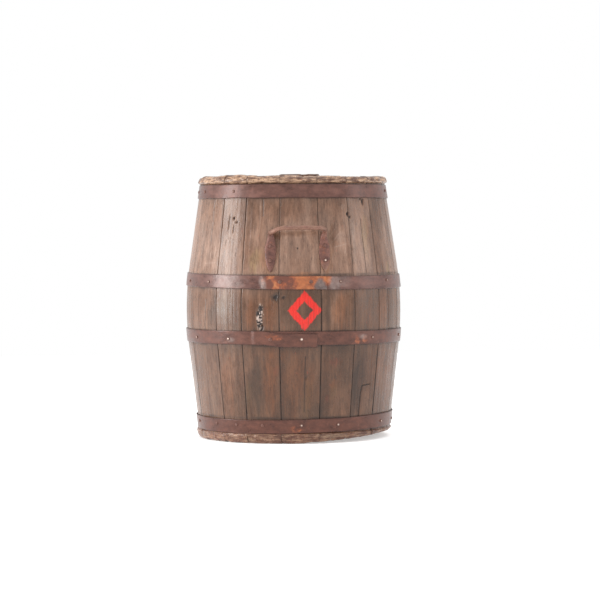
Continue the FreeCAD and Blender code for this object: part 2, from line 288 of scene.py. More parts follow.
# Splits at the front: lines through (angle, height), half width and depth.
SPLITS = (
    (((36.4, 55), (36.8, 110), (37.6, 131), (43.6, 133.5)), 1.7, 2.2),
    (((-57, 470), (-57.5, 565)), 1, 0.8),
    (((-20.9, 528), (-21.3, 566)), 1.2, 1.2),
    (((39.5, 395), (39.2, 520)), 1, 0.8),
    (((57, 268), (57.5, 355)), 1.3, 1.2),
    (((-58.5, 262), (-57, 335)), 1.1, 0.9),
    (((2, 75), (2.6, 205)), 1, 0.7),
    (((48.2, -10), (48.2, 26)), 2.2, 5),
)
# Hollows at the front: angle, height, half width, half length, depth and how dark.
HOLLOWS = (
    (-39.6, 523, 3.2, 4.5, 3, 1), (-37.4, 514, 4, 2.2, 2, 0.9), (-43, 512, 2.2, 23, 1, 0.6),
    (-39.4, 498, 2, 12, 1, 0.6), (30, 531, 4.2, 6.5, 3.5, 1), (31.2, 524, 3, 4.2, 2.5, 1),
    (42.6, 559, 3.8, 9.5, 3, 1), (41, 566, 3, 3, 2, 0.9), (-1, 453, 2.2, 2.6, 2, 0.9),
    (-12.6, 341, 7, 7.5, 2.5, 1), (-8.6, 340, 4.8, 5.5, 1.5, 0.9), (60.2, 393, 2, 8, 1.2, 0.6),
    (64.5, 405, 2.6, 2.6, 1.5, 0.8), (-20.3, 270, 5, 8.5, 4, 1), (-21.2, 286, 3.6, 10, 3.5, 1),
    (-21.8, 308, 2, 12, 2, 0.9), (22.5, 191, 5.5, 7, 0.8, 0), (3.2, 155, 3, 6, 1.2, 0.5),
)
# Stains at the front, by kind, with painted sheen and painted highlights among the pale ones:
# angle, height, half width, half length and strength.
STAINS_AND_SHEEN = {
    "warm": (
        (-26, 297, 12, 36, 0.8), (-15, 302, 13, 42, 0.9), (-15.5, 150, 18, 85, 0.8),
        (-8, 205, 10, 20, 0.6), (2.5, 392, 24, 7, 0.7), (15, 425, 16, 32, 0.7),
        (-17, 430, 16, 28, 0.5), (-3, 140, 26, 80, 0.6), (5.5, 125, 10, 60, 0.6),
        (53, 165, 18, 70, 0.6), (-41, 150, 22, 60, 0.7), (40.5, 300, 10, 45, 0.5),
        (19, 135, 7, 14, 0.7), (22, 305, 18, 48, 0.8), (52, 310, 22, 50, 0.6),
        (63, 150, 20, 90, 0.6),
    ),
    "grey": (
        (-42, 225, 18, 20, 0.5), (-3, 225, 30, 14, 0.4), (20, 215, 26, 16, 0.4),
        (-52, 300, 8, 22, 0.8), (-12.2, 342, 13, 12, 1.2), (-24, 135, 17, 70, 0.9),
        (33, 140, 9, 85, 0.8), (8.5, 310, 20, 45, 0.7), (-7, 315, 10, 45, 0.6),
        (15, 300, 8, 50, 0.5), (9, 75, 20, 20, 0.6),
    ),
    "yellow": (
        (-30, 110, 8, 40, 0.5), (4, 100, 12, 50, 0.5), (-24, 424, 14, 30, 0.8),
        (42, 480, 10, 50, 0.6), (60.5, 400, 7, 22, 0.8), (19, 120, 8, 16, 0.5),
    ),
    # Of the pale marks, those from -45 to -38 degrees are painted sheen on the left staves, those
    # up to 17 mm high are painted highlights on the bottom rim, and the rest are scratches and
    # pale wear.
    "pale_wear_and_sheen": (
        (-41, 440, 22, 60, 0.5), (-39, 530, 20, 40, 0.4), (-45, 555, 18, 16, 0.4),
        (-39, 525, 14, 16, 0.3), (-42.5, 314, 20, 42, 1.2), (-43, 325, 10, 30, 1.6),
        (19, 17, 26, 5, 1.8), (-70, 14, 20, 7, 1.4), (-30, 8, 14, 4, 1.2),
        (-38, 190, 16, 70, 0.35), (-22.6, 537, 1.6, 36, 0.6), (32.6, 470, 2.6, 55, 0.4),
        (27, 548, 6, 6, 0.5), (24, 478, 9, 12, 0.3), (-40, 12, 16, 6, 0.8),
        (14.5, 14, 3, 3, 1), (-21.6, 12, 3, 3, 0.9),
    ),
    "pink": (
        (19.5, 190, 12, 10, 0.8), (15.2, 104, 4, 10, 0.8), (-13, 170, 5, 12, 0.6),
        (-42, 372, 20, 6, 0.5),
    ),
}
# Scratches at the front: lines through (angle, height), and strength.
SCRATCHES = (
    (((17, 478), (21.5, 500)), 0.5),
    (((20, 455), (27.5, 462)), 0.5),
    (((18.5, 466), (24.5, 492)), 0.4),
    (((24, 508), (27, 470), (26, 440)), 0.35),
    (((-53, 300), (-50, 322)), 0.5),
    (((-60, 418), (-38, 424)), 0.3),
    (((21.5, 150), (24.5, 146), (23, 158)), 0.4),
)
# The gash at the front, torn into splinters: angle, height, half width and half length.
GASH = (-21.2, 294, 9, 37)
# The painted lozenge: angle and height of its middle, half width, half height, and the
# share of its size that is bare inside.
LOZENGE = (2.2, 310, 41, 48.5, 0.46)
# Where the front is painted darker (or, below 0, cleaner) than the rest, for dirt and as
# painted shade: angle, height, half width, half length and how much.
GRIME_AND_SHADE_PATCHES = (
    (20.6, 305, 24, 60, -0.16), (54, 480, 50, 110, 0.26), (-36, 480, 60, 110, 0.18),
    (-40, 310, 45, 60, 0.12), (36, 140, 22, 90, 0.1), (-3, 545, 60, 30, 0.08),
    # The three on the next line are painted shadows that the handle's legs and grip cast.
    (-12.4, 476, 8, 30, 0.3), (19, 478, 10, 36, 0.25), (-1, 487, 42, 7, 0.18),
)
# How light or dark some staves at the front are, by number. The rest are random.
TONES = {14: 0.3, 15: 0.35, 16: 0.2, 17: 0, 18: 0, 1: 0.15, 2: 0.05, 3: 0, 4: -0.55, 5: 0.1}


def in_metres(turn, *sizes):
    """An angle in radians and sizes in metres, from degrees and millimetres."""
    return radians(turn), *(size / 1000 for size in sizes)


def away_from(line, angle, z):
    """Millimetres over the barrel's side from a line through (angle, height) points."""
    radius = side_radius(z)
    nearest = np.full(np.shape(angle), 1.0)
    for first, last in zip(line, line[1:]):
        first_turn, first_z = in_metres(*first)
        last_turn, last_z = in_metres(*last)
        ax, az = radius * (angle - first_turn), z - first_z
        bx, bz = radius * (last_turn - first_turn), last_z - first_z
        share = np.clip((ax * bx + az * bz) / (bx * bx + bz * bz), 0, 1)
        nearest = np.minimum(nearest, np.hypot(ax - share * bx, az - share * bz))
    return 1000 * nearest


def spot(place, angle, z):
    """1 in the middle of a ragged oval on the barrel's side, and 0 past its soft edge."""
    turn, height, half_width, half_length = in_metres(*place)
    across = side_radius(z) * (angle - turn) / half_width
    along = (z - height) / half_length
    near = (np.abs(across) < 2) & (np.abs(along) < 2)
    away = np.where(near, np.hypot(across, along), 2.0)
    ragged = 0.45 * layered(3 * across[near], 1.5 * along[near], 53)
    away[near] = away[near] + ragged
    return 1 - ramp(away, 0.35, 1.15)


def lozenge(angle, z):
    """1 on the painted outline and 0 off it, soft enough for the material to fray its edge."""
    *place, bare = LOZENGE
    turn, height, half_width, half_height = in_metres(*place)
    across = side_radius(z) * np.abs(angle - turn) / half_width
    size = across + np.abs(z - height) / half_height + 0.05 * layered(angle / 0.03, z / 0.009, 56)
    return ramp(size, bare - 0.1, bare + 0.1) * (1 - ramp(size, 0.84, 1.1))


def grime_and_shade_at(x, angle, z):
    """Dirt and painted shade: most below the bilge, where the staves face down, and a little under
    the top hoop.
    """
    low = 1 - 0.12 * ramp(z, 0.23, 0.27) - 0.88 * ramp(z, 0.33, 0.4)
    grime_and_shade = 0.28 + 0.33 * low + 0.16 * ramp(z, 0.48, 0.56) + 0.1 * layered(x / 0.05, z / 0.09, 55)
    in_front = 1 - ramp(np.abs(angle - radians(8)), radians(25), radians(60))
    grime_and_shade = grime_and_shade + 0.08 * low * in_front
    for *place, amount in GRIME_AND_SHADE_PATCHES:
        grime_and_shade = grime_and_shade + amount * spot(place, angle, z)
    return np.clip(grime_and_shade - 0.55 * spot(GASH, angle, z), 0, 1)


# Over what height the marks of a rim start, and how strong they are at its outside.
RIM_STEP = 0.004
TOP_WORN = 0.75
BOTTOM_WORN = 0.35
BOTTOM_PINK = 0.8
SPLIT_DARK = 0.85
# A distance across a stave that lies between its two seams.
BETWEEN_SEAMS = 0.04


def at_rims(z, step=RIM_STEP):
    """1 past the top hoop and 1 below the bottom one, each from 0 over a short step."""
    return ramp(z, TOP_SEAT, TOP_SEAT + step), 1 - ramp(z, BOTTOM_SEAT - step, BOTTOM_SEAT)


def hoop_grime_and_shade(z):
    """Dark lines along the hoops' edges: dirt and rust that gather there, and painted shade where
    hoops and staves meet.
    """
    grime_and_shade = 0
    for hoop in HOOPS:
        low, high = heights_of(hoop)
        nearest = np.minimum(np.abs(z - low), np.abs(z - high))
        grime_and_shade = np.maximum(grime_and_shade, 1 - ramp(nearest, 0.0008, 0.005))
        grime_and_shade = np.maximum(grime_and_shade, 0.35 * (1 - ramp(np.abs(low - z), 0.004, 0.022)))
    return grime_and_shade


# ---- staves

FRONT = radians(85)
FRONT_SPACING = 0.00125
BACK_SPACING = 0.0018
SEAM_COLUMNS = (0.0, 0.0005, 0.0011, 0.0019, 0.003)
SEAM_ROUNDING = 0.0022
SEAM_DROP = 0.0013
INNER_SPACING = 0.009
SIDE_DEPTHS = (0.2, 0.5, 0.8)
CROZE_CLEARANCE = 0.0003
CROZE_SLOPE = 0.0001
END_STEP = 0.006
END_RINGS = 5
END_CORE = 0.06
END_ROUGHNESS = 0.0006
END_WORN = 0.8
INSIDE_DARK = 0.3
BEVEL = 0.008
# How much lighter or darker a stave may be by chance, and how far along the grain pattern
# each stave lies from the one before it.
TONE_SPREAD = 0.3
GRAIN_STEP = (0.37, 0.61)


def croze_of(head):
    """Lowest and highest edge and the radius of the groove that holds a head's tongue."""
    points = mesh_points(head + "_board_3")
    radius = radius_of(points)
    z = points[radius > radius.max() - CROZE_CLEARANCE, 2]
    return z.min() - CROZE_CLEARANCE, z.max() + CROZE_CLEARANCE, radius.max() + CROZE_CLEARANCE


CROZES = [croze_of(head) for head in HEADS]
NEAR_BILGE = np.abs(STAVE_Z - BILGE_HEIGHT) < BILGE_BAND
STAVE_THICKNESS = BILGE_RADIUS - STAVE_RADII[NEAR_BILGE].min()


def stave_columns(width, spacing):
    """Places across a stave, closer together at its seams."""
    seam = np.array(SEAM_COLUMNS)
    count = int((width - 2 * seam[-1]) / spacing) + 1
    return np.concatenate(
        [seam[:-1], np.linspace(seam[-1], width - seam[-1], count), width - seam[-2::-1]]
    )


def meeting_heights(number, share, end):
    """Height of one end of a stave across it, where it meets its neighbours halfway."""
    own = heights_of(STAVES[number - 1])[end]
    beside = [heights_of(STAVES[other % len(STAVES)])[end] for other in (number - 2, number)]
    meets = [own if abs(own - height) > END_STEP else (own + height) / 2 for height in beside]
    return np.interp(share, (0, 0.5, 1), (meets[0], own, meets[1]))


def end_heights(number, x, width):
    """Heights of a stave's worn ends across it."""
    bottom = meeting_heights(number, x / width, 0)
    top = meeting_heights(number, x / width, 1)
    chewed = layered(x / 0.012, number, 31, 4)
    chips = np.clip(noise(x / 0.009, 9 * number, 32) - 0.35, 0, 1)
    slope = noise(x / 0.09, number, 33)
    high = top + 0.0011 * chewed - 0.004 * chips + 0.0016 * slope
    low = bottom + 0.0006 + 0.0005 * layered(x / 0.014, number, 34)
    low = low + 0.003 * np.clip(noise(x / 0.011, 5 * number, 35) - 0.45, 0, 1)
    return np.minimum(high, FULL_HEIGHT), low


def stave_relief(number, x, width, z, from_seam):
    """How far the worn outside of a stave stands off its plain shape."""
    across = x + number
    flat = 0.25 + 0.2 * noise(number, z / 0.3, 47)
    crown = BILGE_RADIUS * (1 - cos(width / BILGE_RADIUS / 2))
    relief = 0.00014 * noise(across / 0.0026, z / 0.1, 41)
    relief = relief + 0.00016 * noise(across / 0.0055, z / 0.22, 42)
    relief = relief + 0.0005 * layered(across / 0.045, z / 0.17, 43)
    relief = relief - flat * crown * (1 - (2 * x / width - 1) ** 2)
    near = np.clip(1 - from_seam / SEAM_ROUNDING, 0, 1)
    chime = np.maximum(*at_rims(z))
    relief = relief - (1 - 0.7 * chime) * SEAM_DROP * (1 - np.sqrt(1 - near ** 2 + 1e-9))
    nicks = np.clip(noise(across / 0.02, z / 0.018, 44) - 0.55, 0, 1)
    relief = relief - 0.003 * nicks * (1 - ramp(from_seam, 0, 0.004))
    chewed = 0.0013 * layered(across / 0.012, z / 0.006, 45) - 0.0014
    chewed = chewed - 0.004 * np.clip(noise(across / 0.016, z / 0.012, 46) - 0.35, 0, 1)
    return relief + chime * chewed


def seam_shade(number, x, angle, z, from_seam):
    """How dark a stave is near its seams: faint at the upper left, and most below the bilge."""
    row = 7.0 * number + 5 * (x > BETWEEN_SEAMS)
    seam = 0.35 + 0.5 * (1 - ramp(z, 0.2, 0.42)) + 0.3 * noise(row, z / 0.12, 54)
    seam = seam - 0.45 * ramp(z, 0.24, 0.34) * ramp(-angle, radians(25), radians(40))
    seam = np.where((z > TOP_SEAT) | (z < BOTTOM_SEAT), 0.1, np.clip(seam, 0.1, 0.95))
    line = seam * np.exp(-((from_seam / 0.0012) ** 2))
    return line + 0.16 * np.exp(-from_seam / 0.005)


def cuts(angle, z):
    """How deep the splits and hollows are, and how dark."""
    depth = 0 * z
    dark = 0 * z
    for line, half_width, deep in SPLITS:
        near = 1 - ramp(away_from(line, angle, z), 0.3 * half_width, 1.4 * half_width)
        depth = np.maximum(depth, deep * near)
        dark = np.maximum(dark, SPLIT_DARK * near)
    for *place, deep, black in HOLLOWS:
        near = spot(place, angle, z)
        depth = np.maximum(depth, deep * near)
        dark = np.maximum(dark, black * near)
    return depth / 1000, dark


def stains_and_sheen(angle, z):
    """Masks for the stains, scratches, painted sheen and painted highlights, by kind."""
    masks = {}
    for kind, places in STAINS_AND_SHEEN.items():
        masks[kind] = 0 * z
        for turn, height, half_width, half_length, strength in places:
            near = spot((turn, height, 1.3 * half_width, 1.2 * half_length), angle, z)
            masks[kind] = np.maximum(masks[kind], strength * near)
    for line, strength in SCRATCHES:
        near = strength * (1 - ramp(away_from(line, angle, z), 0.3, 1.5))
        masks["pale_wear_and_sheen"] = np.maximum(masks["pale_wear_and_sheen"], near)
    masks["pink"] = np.maximum(masks["pink"], BOTTOM_PINK * at_rims(z)[1])
    return masks


def stave_marks(number, x, angle, z, from_seam):
    """Masks at the outside of a stave, and the depth that splits and hollows cut into it."""
    depth, dark = cuts(angle, z)
    dark = np.maximum(dark, seam_shade(number, x, angle, z, from_seam))
    masks = stains_and_sheen(angle, z)
    gash = spot(GASH, angle, z)
    torn = ramp(gash, 0.1, 0.5)
    splinters = noise(x / 0.0021, z / 0.0035, 51)
    depth = depth + 0.0016 * gash * np.clip(splinters, -1, 0.5)
    pale_wear_and_sheen = torn * ramp(splinters, -0.1, 0.15)
    dark = np.maximum(dark, torn) * (1 - pale_wear_and_sheen)
    masks["pale_wear_and_sheen"] = np.maximum(masks["pale_wear_and_sheen"], 1.8 * pale_wear_and_sheen)
    patchy = 0.7 + 0.6 * noise(x / 0.03, number, 52)
    # The dark mask also takes painted shade along the hoops' edges.
    masks["dark"] = np.clip(np.maximum(dark, 0.55 * patchy * hoop_grime_and_shade(z)), 0, 1)
    masks["paint"] = lozenge(angle, z)
    at_top, at_bottom = at_rims(z)[0], at_rims(z, 1.5 * RIM_STEP)[1]
    masks["worn"] = np.maximum(TOP_WORN * at_top, BOTTOM_WORN * at_bottom)
    return masks, depth


def stave_levels(bottom, top, spacing):
    """Heights of a stave's rings, with one at each edge of the croze."""
    levels = np.linspace(bottom, top, int((top - bottom) / spacing) + 1)
    for low, high, _ in CROZES:
        levels = np.append(levels, [low, low - CROZE_SLOPE, high, high + CROZE_SLOPE])
    return np.sort(levels)


def inside_radius(z):
    """The inside of the staves, with the groove that holds each head."""
    radius = side_radius(z) - STAVE_THICKNESS
    radius = radius + BEVEL * ramp(z, CROZES[0][1], FULL_HEIGHT)
    radius = radius + BEVEL * ramp(-z, -CROZES[1][0], 0)
    for low, high, groove in CROZES:
        radius = np.where((z >= low) & (z <= high), groove, radius)
    return radius


def stave_section(width, spacing):
    """Columns round a stave: how far each lies across it, and its share of the way inwards."""
    outer = stave_columns(width, spacing)
    inner = np.linspace(width, 0, int(width / INNER_SPACING) + 2)
    depths = np.array(SIDE_DEPTHS)
    x = np.concatenate([outer, 0 * depths + width, inner, 0 * depths])
    share = np.concatenate([0 * outer, depths, 0 * inner + 1, depths[::-1]])
    return x, share


def stave_rings(bottom, top, spacing):
    """Heights of a stave's rings, and how far each has closed in over an end face."""
    levels = stave_levels(bottom, top, spacing)
    closing = np.linspace(0, 1, END_RINGS + 1)[1:]
    inset = np.concatenate([closing[::-1], 0 * levels, closing])[:, None]
    levels = np.concatenate([0 * closing + bottom, levels, 0 * closing + top])[:, None]
    return levels, inset


def worn_levels(number, levels, x, width):
    """Heights of a stave's points once its ends are worn, and of its worn ends."""
    bottom, top = levels.min(), levels.max()
    high, low = end_heights(number, x, width)
    z = levels + (high - top) * ramp(levels, TOP_SEAT, top)
    z = z + (low - bottom) * ramp(-levels, -BOTTOM_SEAT, -bottom)
    return z, high, low


def all_masks(masks, share, inset):
    """The masks for a whole stave, from those for its outside."""
    at_outside = share < 0.01
    masks = {key: mask * at_outside for key, mask in masks.items()}
    masks["worn"] = np.where(inset > 0, END_WORN, masks["worn"])
    masks["dark"] = np.where(at_outside, masks["dark"], INSIDE_DARK)
    return masks


def make_stave(number, material):
    node = STAVES[number - 1]
    first, last = span_of(node)
    start = wrapped(first)
    at_front = max(abs(start), abs(start + last - first)) < FRONT
    spacing = FRONT_SPACING if at_front else BACK_SPACING
    width = (last - first) * BILGE_RADIUS
    x, share = stave_section(width, spacing)
    levels, inset = stave_rings(*heights_of(node), spacing)
    share = share + (0.5 - share) * inset * (1 - END_CORE)
    x = x + 0 * levels
    angle = start + x / BILGE_RADIUS

    z, high, low = worn_levels(number, levels, x, width)
    from_seam = np.minimum(x, width - x) * side_radius(z) / BILGE_RADIUS
    masks, depth = stave_marks(number, x, angle, z, from_seam)
    outside = lipped_radius(z, high, low) + stave_relief(number, x, width, z, from_seam) - depth
    radius = outside + (inside_radius(z) - outside) * share
    bump = END_ROUGHNESS * np.abs(layered(x / 0.004, radius / 0.004, 36))
    inwards = np.where(levels > BILGE_HEIGHT, -1, 1)
    z = z + inwards * bump * np.clip(3 * inset, 0, 1)

    masks = all_masks(masks, share, inset)
    if node == BUNG_STAVE:
        masks["dark"], masks["wine"] = bung_marks(angle, z, masks["dark"])
    by_chance = TONE_SPREAD * SEED.uniform(-1, 1)
    masks["tone"] = TONES.get(number, by_chance)
    # Dirt and painted shade, which darken and brown the wood.
    masks["grime_and_shade"] = grime_and_shade_at(x + number, angle, z)
    across, up = GRAIN_STEP
    masks["grain"] = np.stack([x + across * number, radius, z + up * number], -1)
    piece = new_piece(node + "_oak", around(radius, angle, z), material, masks)
    if node == BUNG_STAVE:
        cut_bung_hole(piece)
    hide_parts(node)


# ---- the bung's hole

BUNG_AXIS = np.array(frame["joints"][0]["axis"])
BUNG_ANGLE = atan2(BUNG_AXIS[0], -BUNG_AXIS[1])
BUNG_HEIGHT = sum(heights_of("bung")) / 2
HOLE_CLEARANCE = 0.0004
HOLE_SIDES = 96
HOLE_REACH = 0.03
HOLE_GRAIN = 7.0
HOLE_DARK = 0.55
HOLE_WINE = 0.8


def bung_profile():
    """Places along the bung's axis, from the barrel's middle, and its radius at each."""
    points = mesh_points("bung") - [0, 0, BUNG_HEIGHT]
    along = points @ BUNG_AXIS
    radius = np.linalg.norm(points - np.outer(along, BUNG_AXIS), axis=1)
    places = np.unique(np.round(along, 4))
    return places, np.array([radius[np.abs(along - place) < 2e-4].max() for place in places])


def bung_marks(angle, z, dark):
    """Dirt round the bung's hole and the wine that ran down from it."""
    across = wrapped(angle - BUNG_ANGLE) * BILGE_RADIUS
    below = BUNG_HEIGHT - z
    away = np.hypot(across, below)
    rim = bung_profile()[1].max()
    ring = 0.8 * np.exp(-(((away - rim) / 0.004) ** 2))
    run = ramp(below, 0, rim) * (1 - ramp(below, 0.08, 0.24))
    streaks = 0.6 + 0.6 * noise(across / 0.006, below / 0.2, 61)
    wine = run * streaks * (1 - ramp(np.abs(across), 0.008, 0.026))
    patchy = 0.7 + 0.5 * noise(across / 0.01, below / 0.02, 62)
    splash = 0.7 * patchy * (1 - ramp(away, rim, 0.055))
    return np.clip(np.maximum(dark, ring), 0, 1), np.clip(np.maximum(wine, splash), 0, 1)


def cut_bung_hole(piece):
    places, radii = bung_profile()
    slope = (radii[-2] - radii[1]) / (places[-2] - places[1])
    ends = np.array([places[0] - HOLE_REACH, places[-1] + HOLE_REACH])[:, None]
    radius = radii[1] + slope * (ends - places[1]) + HOLE_CLEARANCE
    turn = np.linspace(0, FULL_TURN, HOLE_SIDES, endpoint=False)
    side = np.cross([0, 0, 1], BUNG_AXIS)
    ring = np.cos(turn)[:, None] * side + np.sin(turn)[:, None] * np.array([0, 0, 1])
    rings = ends[:, :, None] * BUNG_AXIS + radius[:, :, None] * ring + [0, 0, BUNG_HEIGHT]
    masks = {"grain": rings + HOLE_GRAIN, "dark": HOLE_DARK, "wine": HOLE_WINE}
    cutter = new_piece("hole", rings, piece.data.materials[0], masks)
    hole = piece.modifiers.new("hole", "BOOLEAN")
    hole.operation = "DIFFERENCE"
    hole.object = cutter
    apply_modifiers(piece)
    bpy.data.objects.remove(cutter)


def apply_modifiers(piece):
    evaluated = piece.evaluated_get(bpy.context.evaluated_depsgraph_get())
    mesh = bpy.data.meshes.new_from_object(evaluated)
    piece.modifiers.clear()
    piece.data = mesh


# ---- pieces remeshed from the frame

# How fine the faces of each kind of copy are, and how deep its dents.
FASTENER_WEAR = (0.0005, 0.0002)
HANDLE_WEAR = (0.0009, 0.0006)
BOARD_WEAR = (0.0018, 0.0005)
BUNG_WEAR = (0.0008, 0.0003)


def remeshed(node, name, material, wear, body=CASK):
    """A worn copy of a CAD node: its surface made of small even faces and gently dented."""
    voxel, roughness = wear
    piece = bpy.data.objects.new(name, frame["nodes"][node].data.copy())
    bpy.context.scene.collection.objects.link(piece)
    remesh = piece.modifiers.new("even", "REMESH")
    remesh.mode = "VOXEL"
    remesh.voxel_size = voxel
    smooth = piece.modifiers.new("soft", "SMOOTH")
    smooth.iterations = 3
    apply_modifiers(piece)
    mesh = piece.data
    points = vertex_vectors(mesh)
    normals = vertex_vectors(mesh, "normal")
    dent = roughness * (
        layered(points[:, 0] / 0.006 + 50, points[:, 2] / 0.006, 71)
        + 0.8 * layered(points[:, 1] / 0.006 + 90, points[:, 2] / 0.009, 72)
        - 0.6
    )
    moved = points + normals * dent[:, None]
    mesh.vertices.foreach_set("co", moved.ravel())
    mesh.materials.clear()
    mesh.materials.append(material)
    mesh.shade_smooth()
    mesh.update()
    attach(piece, body)
    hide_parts(node)
    return piece, points, normals


# ---- hoops

HOOP_THICKNESS = 0.0025
HOOP_GAP = 0.0003
LAP_GAP = 0.0001
LAP_RAMP = radians(3)
LAP_LIFT = 0.0012
HOOP_SPACING = 0.002
HOOP_EDGE = 0.0009
HOOP_COLUMN = 0.0016
# A hoop's rounded edge, as shares of HOOP_EDGE and of its thickness.
EDGE_SHARES = (0.0, 0.4)
EDGE_DEPTHS = (0.5, 0.86)
MARK_KINDS = ("rust", "burnt", "soot", "pale_wear_and_sheen")
# Marks on the hoops at the front: kind, angle, share of the hoop's width, half width, half
# height as a share, and strength.
HOOP_MARKS = {
    "top_chime_hoop": (),
    "upper_bilge_hoop": (
        ("rust", -13.5, 0.5, 26, 1.1, 0.9), ("rust", -6.5, 0.5, 30, 1.1, 0.9),
        ("rust", 2, 0.5, 26, 1.1, 1.5), ("rust", 7, 0.6, 24, 1.1, 1.2),
        ("rust", 14, 0.8, 14, 0.6, 1.6), ("burnt", -16, 0.3, 12, 0.6, 0.9),
        ("burnt", -9, 0.8, 22, 0.4, 1), ("burnt", -5, 0.45, 14, 0.3, 0.7),
        ("burnt", -6, 0.1, 20, 0.3, 0.7), ("soot", 10.5, 0.25, 15, 0.6, 1),
        ("pale_wear_and_sheen", -19, 0.2, 8, 0.5, 0.5), ("pale_wear_and_sheen", -20.5, 0.7, 6, 0.5, 0.3),
        # The wide pale mark at -39 degrees is a painted sheen.
        ("pale_wear_and_sheen", -39, 0.5, 42, 0.9, 0.35), ("pale_wear_and_sheen", 18.3, 0.4, 16, 0.9, 0.45),
        ("pale_wear_and_sheen", 24, 0.6, 20, 0.6, 0.2),
    ),
    "lower_bilge_hoop": (
        ("rust", -13.5, 0.65, 26, 0.25, 0.55), ("rust", 37, 0.4, 12, 0.4, 0.5),
        ("rust", 32, 0.3, 10, 0.35, 0.55), ("pale_wear_and_sheen", 35.5, 0.6, 14, 0.22, 0.35),
        ("pale_wear_and_sheen", -38, 0.35, 12, 0.2, 0.3),
    ),
    "bottom_chime_hoop": (("rust", -3, 0.3, 18, 0.3, 0.45),),
}


def lap_of(hoop):
    """Start and length of a hoop's lap, from its two rivets at 1/4 and 3/4 of it."""
    points = mesh_points(hoop + "_lap_rivets")
    middle = atan2(points[:, 0].mean(), -points[:, 1].mean())
    spread = wrapped(angle_of(points) - middle)
    near = np.median(spread[spread < 0])
    far = np.median(spread[spread > 0])
    length = 2 * (far - near)
    return middle - length / 2, length


def hoop_section(width):
    """Places across a strip, and how far out each lies, from 0 inside to 1 outside."""
    steps = int(width / HOOP_COLUMN)
    edge = HOOP_EDGE / width
    low_edge = edge * np.array(EDGE_SHARES)
    outer = np.concatenate([low_edge, np.linspace(edge, 1 - edge, steps), 1 - low_edge[::-1]])
    depth = np.concatenate([EDGE_DEPTHS, np.ones(steps), EDGE_DEPTHS[::-1]])
    inner = np.linspace(1 - edge, edge, 5)
    return np.concatenate([outer, inner]), np.concatenate([depth, 0 * inner])


def hoop_heights(hoop, seed, x, along_lap, across):
    """Heights of a hoop's points, with its wavy edges and its loose end's droop."""
    low, high = heights_of(hoop)
    loose = ramp(along_lap, 0.1, 0.45)
    wave = 0.0004 * noise(x / 0.05, seed, 81)
    wave = wave + 0.00025 * noise(x / 0.017, seed, 82)
    z = low + (high - low) * across + wave * 2 * np.abs(across - 0.5)
    return z - HOOPS[hoop]["droop"] * loose


def make_hoop(hoop, seed, material):
    low, high = heights_of(hoop)
    lap_start, lap_length = lap_of(hoop)
    across, depth = hoop_section(high - low)
    middle_radius = side_radius((low + high) / 2)
    count = int((FULL_TURN + lap_length) * middle_radius / HOOP_SPACING)
    turn = np.linspace(0, FULL_TURN + lap_length, count)[:, None]
    along_lap = (turn - FULL_TURN) / lap_length
    x = middle_radius * turn
    right, front = HOOPS[hoop]["tilt"]
    z = hoop_heights(hoop, seed, x, along_lap, across)
    z = z + right * np.sin(lap_start + turn) + front * np.cos(lap_start + turn)
    dents = 0.00035 * layered(x / 0.05, z / 0.03, 83 + seed)
    dents = dents + 0.00012 * layered(x / 0.012, z / 0.012, 84 + seed)
    over = ramp(turn, FULL_TURN - LAP_RAMP, FULL_TURN)
    radius = side_radius(z) + HOOP_GAP + over * (HOOP_THICKNESS + LAP_GAP)
    radius = radius + LAP_LIFT * ramp(along_lap, 0.88, 1)
    radius = radius + depth * HOOP_THICKNESS + np.where(depth > 0.9, dents, 0)
    angle = lap_start + turn + 0 * across
    masks = hoop_masks(hoop, wrapped(angle), z, x, across)
    masks["grain"] = np.stack([x + 0 * z, radius, z], -1)
    piece = new_piece(hoop + "_iron", around(radius, angle, z), material, masks)
    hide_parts(hoop)


def hoop_masks(hoop, angle, z, x, across):
    masks = {kind: 0 * z for kind in MARK_KINDS}
    for kind, turn, height, half_width, half_height, strength in HOOP_MARKS[hoop]:
        beside = side_radius(z) * wrapped(angle - radians(turn)) / (half_width / 1000)
        away = np.hypot(beside, (across - height) / half_height)
        away = away + 0.35 * layered(x / 0.012, z / 0.01, 91)
        masks[kind] = np.maximum(masks[kind], strength * (1 - ramp(away, 0.4, 1.3)))
    masks["dark"] = 0.7 * (1 - ramp(np.minimum(across, 1 - across), 0, 0.07)) + 0 * z
    masks["brown"] = HOOPS[hoop]["brown"]
    return masks


# ---- materials

def linear(tint):
    """Linear colour from the usual 0 to 255 numbers."""
    shares = [value / 255 for value in tint]
    return (*(s / 12.92 if s <= 0.04045 else ((s + 0.055) / 1.055) ** 2.4 for s in shares), 1.0)


